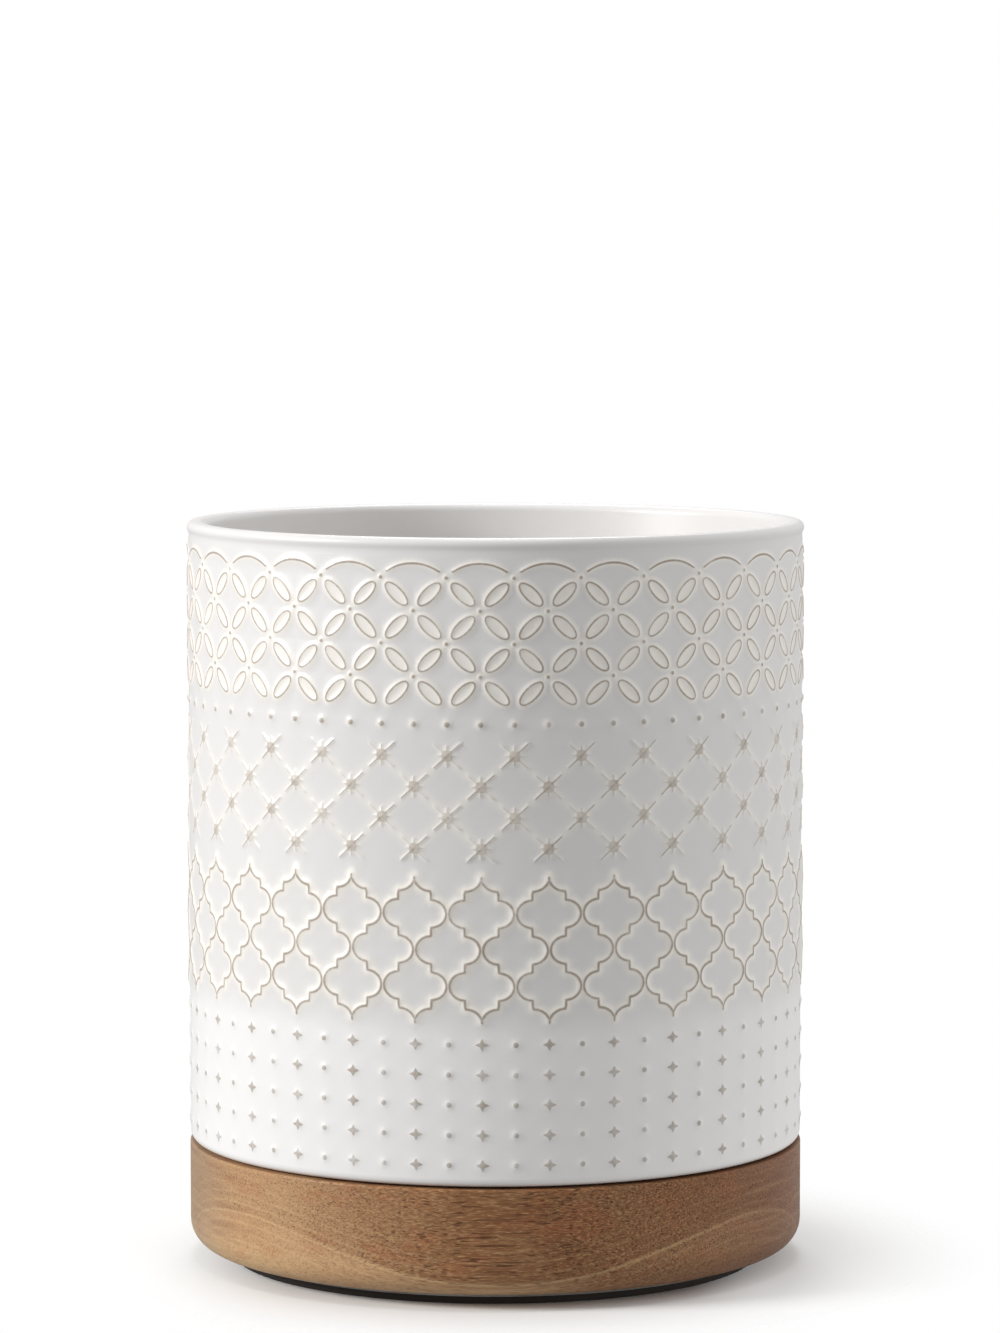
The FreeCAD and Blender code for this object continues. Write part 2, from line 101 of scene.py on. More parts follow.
class ShellSizes(bpy.types.PropertyGroup):
    """Sizes of the turned stoneware, without its relief."""

    radius: length("Radius", CROCK_HIGH.x, "Outside of the wall, over its relief")
    rim: length("Rim", CROCK_HIGH.z, "Height of the rim above the table")
    stand: length("Stand", CROCK_LOW.z, "Height of the ring that the crock stands on")
    wall: length("Wall", 0.005, "Thickness of the wall")
    floor: length("Floor", 0.008, "Thickness of the floor")
    corner: length("Inside corner", 0.008, "Round between the floor and the wall")
    seam: length("Seam", 0.0005, "Shadow gap between the shoulder and the wood")
    edge: length("Bottom edge", 0.002, "Round between the wall and the shoulder")
    foot_inset: length("Foot inset", 0.00565, "How far the foot lies inside the wall")
    stand_width: length("Stand width", 0.011, "Width of the ring that the crock stands on")
    hollow: length("Hollow", 0.002, "Depth of the hollow inside that ring")
    bevel: length("Bevel", 0.001, "Bevel round that ring")
    lip: length("Lip", 0.0015, "Round of the lip's outer bead")
    lip_inside: length("Lip inside", 0.0019, "Round of the lip towards the inside")
    cove: length("Cove", 0.0022, "Height of the soft groove under the lip")
    groove: length("Groove", 0.00012, "Depth of that groove")
    steps: number_of("Steps", 240, "Facets round the crock")


class ReliefSizes(bpy.types.PropertyGroup):
    """Sizes of the pressed pattern, which repeats round the wall."""

    repeats: number_of("Repeats", 30, "Cells of the pattern round the wall")
    first_column: angle("First column", -2.241, "Where the first column of the pattern stands")
    lean: angle("Lean", -0.5, "How far the pattern leans from its foot to its top")
    bottom: length("Bottom", 0.0326, "Lower edge of the patterned wall")
    top: length("Top", 0.1817, "Upper edge of the patterned wall")
    crest: length("Crest", 0.00018, "Height of a drawn line above its soft foot")
    half_line: length("Half line", 0.00046, "Half width of a drawn line")
    trellis_line: length("Trellis line", 0.00058, "Half width of a trellis line")
    foot: length("Foot", 0.00022, "Height of the soft foot under a line")
    reach: length("Reach", 0.0016, "How far the soft foot runs out")
    petal_bottom: length("Petals", 0.14527, "Height of the lowest nodes of the petal band")
    petal_pitch: length("Petal pitch", 0.00787, "Rise from one row of nodes to the next")
    petal_length: length("Petal length", 0.0072, "Length of a petal's outline")
    petal_width: length("Petal width", 0.00295, "Width of a petal's outline")
    petal_rows: number_of("Petal rows", 4, "Rows of petals")
    arc_share: share("Arc", 0.77, "How far an arc over the petals runs, as a share of half a cell")
    dot: length("Dot", 0.00068, "Radius of a dot between petals")
    bump_height: length("Bumps", 0.14175, "Height of the row of bumps")
    bump: length("Bump", 0.001, "Radius of a bump")
    star_bottom: length("Stars", 0.11202, "Height of the lowest row of stars")
    star_pitch: length("Star pitch", 0.00741, "Rise from one row of stars to the next")
    star_rows: number_of("Star rows", 4, "Rows of stars")
    star_hub: length("Star hub", 0.0017, "Radius of a star's hub")
    star_arm: length("Star arm", 0.0042, "Reach of a star's slanted arms")
    star_ray: length("Star ray", 0.0023, "Reach of a star's upright rays")
    star_side_ray: length("Star side ray", 0.0018, "Reach of a star's level rays")
    # Arms that fall to the right keep only this share of their clay, so they show fainter: painted light, as
    # they lie along the light
    painted_light_arm_share: share("Worn arms", 0.6, "Bare clay left on the star arms that fall to the right")
    trellis_bottom: length("Trellis", 0.07895, "Height of the lowest row of trellis tiles")
    trellis_pitch: length("Trellis pitch", 0.00872, "Rise from one row of tiles to the next")
    trellis_rows: number_of("Trellis rows", 3, "Rows of tiles")
    trellis_gap: length("Trellis gap", 0.00034, "Half the distance between two tiles")
    trellis_bow: length("Trellis bow", 0.00333, "Height of a quarter bow in a tile's outline")
    grid_bottom: length("Grid", 0.03575, "Height of the lowest row of crosses")
    grid_pitch: length("Grid pitch", 0.00729, "Rise from one row of crosses to the next")
    grid_rows: number_of("Grid rows", 5, "Rows of crosses and dots")
    cross: length("Cross", 0.00188, "Reach of a cross to its sides")
    cross_rise: length("Cross rise", 0.0017, "Reach of a cross up and down")
    grid_dot: length("Grid dot", 0.0009, "Radius of a dot between crosses")
    spacing: length("Spacing", 0.0008, "Distance between points along a drawn line")
    ground: length("Ground", 0.0026, "Distance between points on open ground")


class Colours(bpy.types.PropertyGroup):
    """Colours of the finishes."""

    glaze_thin: colour("Thin glaze", (0.865, 0.83, 0.77), "Glaze where it is drawn thin over a rise")
    # Deep glaze: glaze pooled in the hollows, made darker still as painted shade of the dished ground
    pooled_glaze_and_shade: colour("Deep glaze", (0.725, 0.707, 0.695), "Glaze where it pools")
    # Low glaze: a paler lowest band, partly thinner glaze and partly painted light bounced up from the table
    low_glaze_and_bounce_light: colour("Low glaze", (0.815, 0.80, 0.786), "Glaze on the lowest band of the wall")
    clay: colour("Clay", (0.325, 0.263, 0.21), "Clay where the glaze breaks on a crest")
    bare_clay: colour("Bare clay", (0.62, 0.51, 0.39), "Unglazed clay under the crock")
    heartwood: colour("Heartwood", (0.25, 0.112, 0.048), "Brown of the wood")
    sapwood: colour("Sapwood", (0.525, 0.322, 0.172), "Golden part of the wood")
    # Growth line also paints bounce light on the wood's lower left edge; streak and pore also paint shade on
    # its right side
    growth_line: colour("Growth line", (0.60, 0.40, 0.21), "Pale lines between rings")
    blush: colour("Blush", (0.36, 0.125, 0.055), "Redder patches of the wood")
    # A painted grey reflection along the wood's left rim
    rim_reflection_grey: colour("End grain", (0.26, 0.208, 0.155), "Greyer wood where the grain ends")
    streak: colour("Streak", (0.15, 0.06, 0.03), "Dark streaks of the wood")
    pore: colour("Pore", (0.085, 0.036, 0.018), "Open pores of the wood")
    aluminium: colour("Aluminium", (0.72, 0.72, 0.725), "Races of the bearing")
    ball_steel: colour("Ball steel", (0.66, 0.66, 0.67), "Balls of the bearing")
    nylon: colour("Nylon", (0.79, 0.77, 0.70), "Cage of the bearing")
    zinc: colour("Zinc", (0.60, 0.61, 0.63), "Screws")
    plate: colour("Plate", (0.36, 0.355, 0.345), "Foot plate")
    rubber: colour("Rubber", (0.021, 0.0155, 0.012), "Foot ring")
    silicone: colour("Silicone", (0.62, 0.62, 0.60), "Seat pads")
    floor: colour("Floor", (0.90, 0.90, 0.895), "Pale floor")


class StageSizes(bpy.types.PropertyGroup):
    """Camera, light and floor."""

    camera_distance: length("Camera distance", 1.3431, "From the turning axis to the camera")
    camera_height: length("Camera height", 0.2647, "From the table to the camera")
    camera_pitch: angle("Camera pitch", 4.9199, "How far the camera looks down")
    camera_aim: angle("Camera aim", 0.0497, "How far the camera looks to the right of the axis")
    focal: FloatProperty(name="Focal length", default=144.53, description="Lens in millimetres", min=1)
    sensor: FloatProperty(name="Sensor", default=36, description="Width of the sensor in millimetres", min=1)
    key: power("Key light", 24, "Soft light on the left")
    top: power("Top light", 5, "Soft light overhead")
    back: power("Back light", 6, "Soft light from behind")
    panel: length("Panel", 0.5, "Width of a soft light")
    panel_distance: length("Panel distance", 1.6, "From the crock to a soft light")
    sky: FloatProperty(name="Sky", default=0.4, description="Even light from all round", min=0)
    fill: FloatProperty(name="Fill", default=0.64, description="Very soft light on the right", min=0)
    floor_near: length("Floor", 0.08, "Where the floor starts to fade out")
    floor_far: length("Floor end", 0.13, "Where the floor has faded out")
    # The floor fades further beside the crock, a painted lift of its shadows there
    floor_left_shadow_lift: share("Floor left", 0.45, "How much of the floor shows to the left of the crock")
    floor_right_shadow_lift: share("Floor right", 0.83, "How much of the floor shows to the right of the crock")
    floor_width: length("Floor size", 12, "Width of the floor")


class Section:
    """Cross-section of a mark: rows of distance, soft foot, crest and bare clay.

    The soft foot and the crest are shares of the relief's own. Rows whose distances are drawn become edges
    of the mesh. Clay above 1 makes a flat-topped streak.
    """

    def __init__(self, sizes, *rows, drawn=()):
        self.distances, feet, crests, self.clays = (np.array(column) for column in zip(*rows))
        self.feet = feet * sizes.foot
        self.crests = crests * sizes.crest
        self.drawn = drawn

    def foot(self, distance):
        return np.interp(distance, self.distances, self.feet)

    def crest(self, distance):
        return np.interp(distance, self.distances, self.crests)

    def clay(self, distance):
        return np.interp(distance, self.distances, self.clays)


def line_section(sizes, half, foot_share=1.0, reach_share=1.0, bare=1.0):
    """A drawn line: a narrow crest on a soft foot."""
    reach = sizes.reach * reach_share
    waist = half + (reach - half) * 0.42
    return Section(
        sizes,
        (0, foot_share, 1, bare),
        (half, foot_share * 0.88, 0, 0),
        (waist, foot_share * 0.36, 0, 0),
        (reach, 0, 0, 0),
        drawn=(0, half),
    )


def arm_section(sizes, half, bare):
    """A short drawn line, which tapers."""
    return Section(
        sizes,
        (0, 0.6, 1, bare),
        (half * 0.45, 0.55, 0.6, bare),
        (half, 0.35, 0, 0),
        (half + sizes.reach * 0.45, 0, 0, 0),
        drawn=(0, half),
    )


def pillow_section(sizes):
    """A broad faint ridge."""
    return Section(
        sizes,
        (0, 0.55, 0, 0),
        (sizes.reach * 0.6, 0.4, 0, 0),
        (sizes.reach * 1.7, 0, 0, 0),
    )


def petal_section(sizes):
    """An outline round a raised pad with a slight dish."""
    half = sizes.half_line
    return Section(
        sizes,
        (-sizes.petal_width / 2, 0.8, 0, 0),
        (-half, 0.92, 0, 0),
        (0, 1, 1, 0.9),
        (half, 0.88, 0, 0),
        (sizes.reach * 0.5, 0.38, 0, 0),
        (sizes.reach, 0, 0, 0),
        drawn=(-half, 0, half),
    )


def dome_section(sizes, radius, rise_share, bare, shoulder=0.5, foot_share=1.0):
    """A round dome on a soft foot, whose shoulder lies at a share of its radius."""
    inner = radius * (shoulder - 1)
    return Section(
        sizes,
        (-radius, foot_share, rise_share, bare),
        (inner, foot_share, rise_share * 0.8, bare),
        (0, foot_share * 0.8, 0, 0),
        (sizes.reach * 0.75, 0, 0, 0),
        drawn=(inner, 0),
    )


class Oval:
    """A round or oval mark. Its distances run from its outline and are negative inside."""

    slant = 0
    least = 8

    def __init__(self, section, centre, radii, turned=0.0):
        self.section = section
        self.centre = np.array(centre)
        self.radii = np.array(radii)
        self.along = np.array((math.cos(turned), math.sin(turned)))
        self.across = np.array((-math.sin(turned), math.cos(turned)))

    def distance(self, points):
        local = np.stack(((points - self.centre) @ self.along, (points - self.centre) @ self.across), axis=1)
        ring = np.linalg.norm(local / self.radii, axis=1)
        slope = np.linalg.norm(local / self.radii**2, axis=1)
        middle = ring < TINY
        return np.where(middle, -self.radii.min(), ring * (ring - 1) / np.where(middle, 1, slope))

    def rows(self, spacing):
        """Rings of points, and whether each is drawn."""
        for offset in self.section.distances:
            radii = self.radii + offset
            if radii.min() <= TINY:
                yield [tuple(self.centre)], False
                continue
            step = spacing + max(offset, 0) / 2
            count = max(self.least, 4 * math.ceil(math.pi * radii.mean() / step / 2))
            angles = np.arange(count + 1) * math.tau / count
            ring = self.centre + np.outer(np.cos(angles) * radii[0], self.along)
            ring = ring + np.outer(np.sin(angles) * radii[1], self.across)
            yield [tuple(point) for point in ring], offset in self.section.drawn


class Cross:
    """A four-pointed mark with hollow sides. Its distances run from its outline, too."""

    slant = 0
    hollow = 0.75
    corners = 8

    def __init__(self, section, centre, reaches):
        self.section = section
        self.centre = np.array(centre)
        self.reaches = np.array(reaches)

    def outline(self, headings):
        """Distance from the centre to the outline along each heading."""
        return np.sum(np.abs(headings / self.reaches) ** self.hollow, axis=1) ** (-1 / self.hollow)

    def distance(self, points):
        away = np.linalg.norm(points - self.centre, axis=1)
        middle = away < TINY
        headings = np.where(middle[:, None], (1, 0), points - self.centre)
        headings = headings / np.linalg.norm(headings, axis=1)[:, None]
        return np.where(middle, -self.reaches.max(), away - self.outline(headings))

    def rows(self, spacing):
        """Rings of points at the tips and hollows, whatever the spacing, and whether each is drawn."""
        angles = np.arange(self.corners + 1) * math.tau / self.corners
        headings = np.stack((np.cos(angles), np.sin(angles)), axis=1)
        for offset in self.section.distances:
            away = self.outline(headings) + offset
            if away.min() <= 0:
                yield [tuple(self.centre)], False
                continue
            ring = self.centre + headings * away[:, None]
            yield [tuple(point) for point in ring], offset in self.section.drawn


class Line:
    """A drawn line through points, whose width falls to a share of itself at its end.

    Its slant is 1 if it climbs to the right, -1 if it falls, and 0 if that doesn't matter.
    """

    def __init__(self, section, path, end_share=1.0, slant=0):
        self.section = section
        self.path = np.array(path)
        self.half = max(section.drawn, default=0)
        self.end_share = end_share
        self.slant = slant
        steps = np.linalg.norm(np.diff(self.path, axis=0), axis=1)
        self.travelled = np.concatenate(((0,), np.cumsum(steps)))

    def width(self, travelled):
        return 1 - (1 - self.end_share) * travelled / self.travelled[-1]

    def distance(self, points):
        nearest = np.full(len(points), np.inf)
        at = np.zeros(len(points))
        for start, end, before in zip(self.path, self.path[1:], self.travelled):
            run = end - start
            along = np.clip((points - start) @ run / (run @ run), 0, 1)
            gap = np.linalg.norm(points - start - np.outer(along, run), axis=1)
            closer = gap < nearest
            nearest = np.where(closer, gap, nearest)
            at = np.where(closer, before + along * np.linalg.norm(run), at)
        return nearest + self.half * (1 - self.width(at))

    def rows(self, spacing):
        """Lines of points beside the path, and whether each is drawn."""
        for offset in self.section.distances:
            step = spacing + offset / 2
            count = max(1, round(self.travelled[-1] / step))
            stops = np.linspace(0, self.travelled[-1], count + 1)
            line = np.stack([np.interp(stops, self.travelled, column) for column in self.path.T], axis=1)
            drawn = offset in self.section.drawn
            if offset == 0:
                yield [tuple(point) for point in line], drawn
                continue
            heading = np.gradient(line, axis=0) if len(line) > 1 else self.path[1:] - self.path[:1]
            heading = heading / np.linalg.norm(heading, axis=1)[:, None]
            normal = np.stack((-heading[:, 1], heading[:, 0]), axis=1)
            shift = offset * normal
            if offset == self.half:
                shift = shift * self.width(stops)[:, None]
            yield [tuple(point) for point in line + shift], drawn
            yield [tuple(point) for point in line - shift], drawn
            yield [tuple(line[-1] + heading[-1] * np.linalg.norm(shift[-1]))], False


def quarter_bow(centre, radii, start, end, count):
    """Points of an ellipse between two angles in degrees."""
    angles = np.radians(np.linspace(start, end, count + 1))
    return [(centre[0] + radii[0] * math.cos(a), centre[1] + radii[1] * math.sin(a)) for a in angles]


def arc(centre, radius, start, end, count):
    """Points of a round corner between two angles in degrees."""
    return quarter_bow(centre, (radius, radius), start, end, count)


def round_mark(sizes, centre, radius, **shape):
    """A dome with a round outline."""
    return Oval(dome_section(sizes, radius, **shape), centre, (radius, radius))


def petal_marks(sizes, width):
    """Crossed rows of petals with dots between them, under a row of arcs."""
    nodes = [
        (0 if row % 2 else width, sizes.petal_bottom + row * sizes.petal_pitch)
        for row in range(sizes.petal_rows + 1)
    ]
    radii = (sizes.petal_length / 2, sizes.petal_width / 2)
    for low, high in zip(nodes, nodes[1:]):
        centre = ((low[0] + high[0]) / 2, (low[1] + high[1]) / 2)
        yield Oval(petal_section(sizes), centre, radii, math.atan2(high[1] - low[1], high[0] - low[0]))
    for node in nodes[1:]:
        yield round_mark(sizes, node, sizes.dot, rise_share=0.9, bare=0.75)
    arc_radius = math.hypot(width, sizes.petal_pitch)
    arc_end = math.degrees(math.acos(width * sizes.arc_share / arc_radius))
    section = line_section(sizes, sizes.half_line, bare=1.2)
    yield Line(section, arc(nodes[-2], arc_radius, 90, arc_end, count=8), end_share=0.9)


def bump_marks(sizes, width):
    """A level row of bumps."""
    for across in (0, width):
        centre = (across, sizes.bump_height)
        yield round_mark(sizes, centre, sizes.bump, rise_share=1.8, bare=0.7, foot_share=0.6)


def star_marks(sizes, width):
    """Rayed stars on a faint slanted lattice."""
    nodes = [
        (width if row % 2 else 0, sizes.star_bottom + row * sizes.star_pitch)
        for row in range(sizes.star_rows)
    ]
    for low, high in zip(nodes, nodes[1:]):
        yield Line(pillow_section(sizes), (low, high))
    hub = {"rise_share": 0.9, "bare": 0.54, "shoulder": 0.76, "foot_share": 0.7}
    arm = arm_section(sizes, sizes.half_line * 0.9, bare=0.72)
    ray = arm_section(sizes, sizes.half_line, bare=0.56)
    ray_end = 0.78
    slant = np.array((width, sizes.star_pitch)) / math.hypot(width, sizes.star_pitch)
    for across, height in nodes:
        inward = 1 if across == 0 else -1
        centre = np.array((across, height))
        yield round_mark(sizes, centre, sizes.star_hub, **hub)
        for upward in (1, -1):
            tip = centre + slant * (inward, upward) * sizes.star_arm
            yield Line(arm, (centre, tip), end_share=0.9, slant=inward * upward)
            yield Line(ray, (centre, centre + np.array((0, upward * sizes.star_ray))), ray_end)
        yield Line(ray, (centre, centre + np.array((inward * sizes.star_side_ray, 0))), ray_end)


def trellis_marks(sizes, width):
    """Rows of four-lobed tiles, whose outlines pass from tip to side in two bows and a step."""
    rows = range(-1, sizes.trellis_rows)
    section = line_section(sizes, sizes.trellis_line, foot_share=1.2, reach_share=1.6)
    count = 7
    for row in rows:
        side_row = max(row, 0)
        side = (0 if side_row % 2 else width, sizes.trellis_bottom + side_row * sizes.trellis_pitch)
        rising = -1 if row < 0 else 1
        tip = (width - side[0], side[1] + rising * sizes.trellis_pitch)
        tip_gap = 0 if row in (rows[0], rows[-1]) else sizes.trellis_gap
        outward = 1 if tip[0] == 0 else -1
        bow = rising * sizes.trellis_bow
        tip_radii = (outward * (tip_gap - width / 2), -bow)
        side_radii = (outward * (width / 2 - sizes.trellis_gap), bow)
        path = quarter_bow((width / 2, tip[1]), tip_radii, 0, 90, count)
        path += quarter_bow((width / 2, side[1]), side_radii, 90, 0, count)
        yield Line(section, path)


def grid_marks(sizes, width):
    """Level rows of four-pointed crosses with a dot between each two."""
    cross = dome_section(sizes, sizes.cross, rise_share=0.7, bare=0.65, shoulder=0.8, foot_share=0.5)
    dot = {"rise_share": 1.0, "bare": 0.64, "shoulder": 0.6, "foot_share": 0.6}
    for row in range(sizes.grid_rows):
        height = sizes.grid_bottom + row * sizes.grid_pitch
        yield Cross(cross, (0, height), (sizes.cross, sizes.cross_rise))
        yield round_mark(sizes, (width, height), sizes.grid_dot, **dot)


class Points:
    """Points of the half cell, none closer to another than it may be."""

    def __init__(self, low, high, snap):
        self.low, self.high, self.snap = np.array(low), np.array(high), snap
        self.places = []
        self.cells = {}

    def find(self, place, limit):
        """Number of a point closer than a limit, or None."""
        column, row = (math.floor(value / self.snap) for value in place)
        spread = math.ceil(limit / self.snap)
        near = [
            number
            for i in range(column - spread, column + spread + 1)
            for j in range(row - spread, row + spread + 1)
            for number in self.cells.get((i, j), ())
            if math.dist(place, self.places[number]) < limit
        ]
        return min(near, key=lambda number: math.dist(place, self.places[number])) if near else None

    def add(self, place, limit):
        """Keep a place unless it lies outside or too close; its point's number, or None."""
        across, height = place
        for edge in (self.low[0], self.high[0]):
            if abs(across - edge) < self.snap:
                across = edge
        if not self.low[0] <= across <= self.high[0] or not self.low[1] <= height <= self.high[1]:
            return None
        found = self.find((across, height), limit)
        if found is not None:
            return found
        self.places.append((across, height))
        cell = (math.floor(across / self.snap), math.floor(height / self.snap))
        self.cells.setdefault(cell, []).append(len(self.places) - 1)
        return len(self.places) - 1


def relief_points(marks, sizes, width, columns):
    """Points of half a cell and the edges drawn between them.

    Both rims come first, then the marks, open ground, and the seams to the next half cells.
    """
    close = sizes.half_line * 0.35
    beside = sizes.half_line * 2.2
    clear = sizes.ground * 0.62
    seam_gap = sizes.spacing * 0.7
    points = Points((0, sizes.bottom), (width, sizes.top), close)
    edges = []
    for height in (sizes.bottom, sizes.top):
        row = [points.add((width * number / columns, height), 0) for number in range(columns + 1)]
        edges += list(zip(row, row[1:]))
    rows = [row for mark in marks for row in mark.rows(sizes.spacing)]
    for row, drawn in sorted(rows, key=lambda row: not row[1]):
        numbers = [points.add(place, close if drawn else sizes.half_line) for place in row]
        if drawn:
            edges += [pair for pair in zip(numbers, numbers[1:]) if None not in pair and pair[0] != pair[1]]
    for across in (0, width):
        heights = np.arange(sizes.bottom, sizes.top, sizes.half_line)
        column = np.stack((np.full(len(heights), across), heights), axis=1)
        near = np.min([mark.distance(column) for mark in marks if mark.section.drawn], axis=0)
        for place in column[near < beside]:
            points.add(tuple(place), sizes.half_line)
    lines = math.ceil((sizes.top - sizes.bottom) / sizes.ground)
    for line in range(1, lines):
        height = sizes.bottom + (sizes.top - sizes.bottom) * line / lines
        for number in range(columns + 1 - line % 2):
            points.add((width * (number + line % 2 / 2) / columns, height), clear)
    for across in (0, width):
        for height in np.arange(sizes.bottom, sizes.top, sizes.spacing):
            points.add((across, height), seam_gap)
    return points.places, edges


def half_cell(sizes, width, columns):
    """Flat mesh of half a cell, from one column of the pattern to the next.

    Returns places, triangles, and for each place its rise, share of soft foot and bare clay.
    The clay is given twice, for this half and for its mirror image.
    """
    bands = (petal_marks, bump_marks, star_marks, trellis_marks, grid_marks)
    marks = [mark for band in bands for mark in band(sizes, width)]
    places, edges = relief_points(marks, sizes, width, columns)
    fill_all = 0
    tolerance = 1e-7
    corners = [Vector(place) for place in places]
    places, _, faces, *_ = delaunay_2d_cdt(corners, edges, [], fill_all, tolerance)
    places = np.array([tuple(place) for place in places])
    foot = np.zeros(len(places))
    crest = np.zeros(len(places))
    clays = np.zeros((2, len(places)))
    blend_power = 3
    mirrored = (places * (-1, 1), (2 * width, 0) - places * (1, -1))
    for mark in marks:
        distance = mark.distance(places)
        images = [mark.distance(image) for image in mirrored]
        apart = [image for image in images if not np.allclose(image, distance)]
        foot += sum(mark.section.foot(away) ** blend_power for away in (distance, *apart))
        crest = np.maximum(crest, mark.section.crest(distance))
        bare = mark.section.clay(distance)
        # Arms of one slant get less clay: painted light, for lines that lie along the light and show faintly
        for clay, side in zip(clays, SIDES):
            np.maximum(clay, bare * (sizes.painted_light_arm_share if mark.slant * side < 0 else 1), out=clay)
    foot = foot ** (1 / blend_power)
    return places, faces, foot + crest, foot / sizes.foot, clays


def deselect():
    """Leave nothing selected."""
    if bpy.context.object and bpy.context.object.mode != "OBJECT":
        bpy.ops.object.mode_set(mode="OBJECT")
    bpy.ops.object.select_all(action="DESELECT")


def only(piece):
    """Make a piece the one that operators act on."""
    deselect()
    piece.select_set(True)
    bpy.context.view_layer.objects.active = piece


def turn_outline(name, outline, steps):
    """Draw an outline of radius and height by extruding a point, and spin it about the axis."""
    deselect()
    bpy.ops.mesh.primitive_plane_add(size=1, location=CENTRE)
    piece = bpy.context.object
    piece.name = name
    bpy.ops.object.mode_set(mode="EDIT")
    bpy.ops.mesh.merge(type="CENTER")
    bpy.ops.transform.translate(value=(0, -outline[0][0], outline[0][1]))
    for (radius, height), (next_radius, next_height) in zip(outline, outline[1:]):
        step = (0, radius - next_radius, next_height - height)
        bpy.ops.mesh.extrude_vertices_move(TRANSFORM_OT_translate={"value": step})
    bpy.ops.mesh.select_all(action="SELECT")
    bpy.ops.mesh.spin(steps=steps, angle=math.tau, center=CENTRE, axis=AXIS)
    bpy.ops.object.mode_set(mode="OBJECT")
    return piece


def shell_outlines(shell, relief, ground):
    """Outlines of the crock below its relief and of its inside, rim and cove."""
    shoulder = WOOD_HIGH.z + shell.seam
    foot = shell.radius - shell.foot_inset
    stand_inside = foot - shell.stand_width
    underside = shell.stand + shell.hollow
    soft = shell.bevel / 2
    below = [(ground, relief.bottom)]
    below += arc((ground - shell.edge, shoulder + shell.edge), shell.edge, 0, -90, 6)
    below += [(foot + soft, shoulder), (foot, shoulder - soft)]
    below += [(foot, shell.stand + shell.bevel + soft)]
    below += arc((foot - shell.bevel, shell.stand + shell.bevel), shell.bevel, 0, -90, 4)
    below += [(stand_inside + soft, shell.stand), (stand_inside, shell.stand + soft)]
    below += [(stand_inside, underside - soft), (stand_inside - soft, underside)]
    below += [(stand_inside * ring, underside) for ring in FLAT_RINGS]
    inside = shell.radius - shell.wall
    floor = underside + shell.floor
    within = [(inside * ring, floor) for ring in reversed(FLAT_RINGS)]
    within += arc((inside - shell.corner, floor + shell.corner), shell.corner, -90, 0, 7)
    within += [(inside, (floor + shell.rim) / 2)]
    within += arc((inside + shell.lip_inside, shell.rim - shell.lip_inside), shell.lip_inside, 180, 90, 6)
    bead_end = -28
    within += arc((shell.radius - shell.lip, shell.rim - shell.lip), shell.lip, 90, bead_end, 7)
    bead_radius, throat = within[-1]
    if throat - relief.top < shell.cove:
        raise ValueError("the cove under the lip runs into the relief")
    within += [
        (ground + (bead_radius - ground) * 0.15, throat - shell.cove * 0.18),
        (ground - shell.groove, throat - shell.cove / 2),
        (ground, throat - shell.cove),
        (ground, relief.top),
    ]
    return below, within


def emboss(name, sizes, ground, columns):
    """Two halves of a cell of the relief, wrapped on the wall and repeated round it."""
    width = ground * math.pi / sizes.repeats
    places, faces, rise, foot, clays = half_cell(sizes, width, columns)
    angles = np.concatenate([places[:, 0] / ground * side for side in SIDES])
    radii = ground + np.tile(rise, 2)
    points = np.stack((radii * np.sin(angles), -radii * np.cos(angles), np.tile(places[:, 1], 2)), axis=1)
    triangles = [list(face) for face in faces]
    triangles += [[corner + len(places) for corner in reversed(face)] for face in faces]
    mesh = bpy.data.meshes.new(name)
    mesh.from_pydata(points.tolist(), [], triangles)
    for attribute, values in (("rise", np.tile(foot, 2)), ("clay", clays.ravel())):
        layer = mesh.attributes.new(attribute, "FLOAT", "POINT")
        layer.data.foreach_set("value", values.astype(np.float32))
    piece = bpy.data.objects.new(name, mesh)
    bpy.context.scene.collection.objects.link(piece)
    only(piece)
    bpy.ops.object.mode_set(mode="EDIT")
    bpy.ops.mesh.select_all(action="SELECT")
    cell_angle = math.tau / sizes.repeats
    bpy.ops.mesh.spin(
        steps=sizes.repeats - 1, dupli=True, angle=math.tau - cell_angle, center=CENTRE, axis=AXIS
    )
    bpy.ops.object.mode_set(mode="OBJECT")
    return piece


def join(pieces, name, merge):
    """Join pieces into one closed mesh whose faces point outwards."""
    deselect()
    for piece in pieces:
        piece.select_set(True)
    bpy.context.view_layer.objects.active = pieces[0]
    bpy.ops.object.join()
    joined = bpy.context.object
    joined.name = name
    bpy.ops.object.mode_set(mode="EDIT")
    bpy.ops.mesh.select_all(action="SELECT")
    bpy.ops.mesh.remove_doubles(threshold=merge)
    bpy.ops.mesh.normals_make_consistent(inside=False)
    bpy.ops.object.mode_set(mode="OBJECT")
    bpy.ops.object.shade_smooth()
    return joined


def require_closed(piece):
    """Stop if a piece's mesh has an open or a shared edge."""
    mesh = bmesh.new()
    mesh.from_mesh(piece.data)
    faulty = sum(not edge.is_manifold for edge in mesh.edges)
    mesh.free()
    if faulty:
        raise RuntimeError(f"{piece.name} has {faulty} edges that don't join two faces")


def lean_about_axis(piece, sizes):
    """Turn the pattern to its first column, and lean it from its foot to its top."""
    mesh = piece.data
    points = np.empty(len(mesh.vertices) * 3)
    mesh.vertices.foreach_get("co", points)
    across, deep, height = points.reshape(-1, 3).T
    climb = np.clip((height - sizes.bottom) / (sizes.top - sizes.bottom), 0, 1)
    turn = sizes.first_column + sizes.lean * climb
    cosine, sine = np.cos(turn), np.sin(turn)
    turned = np.stack((across * cosine - deep * sine, across * sine + deep * cosine, height), axis=1)
    mesh.vertices.foreach_set("co", turned.ravel())
    mesh.update()


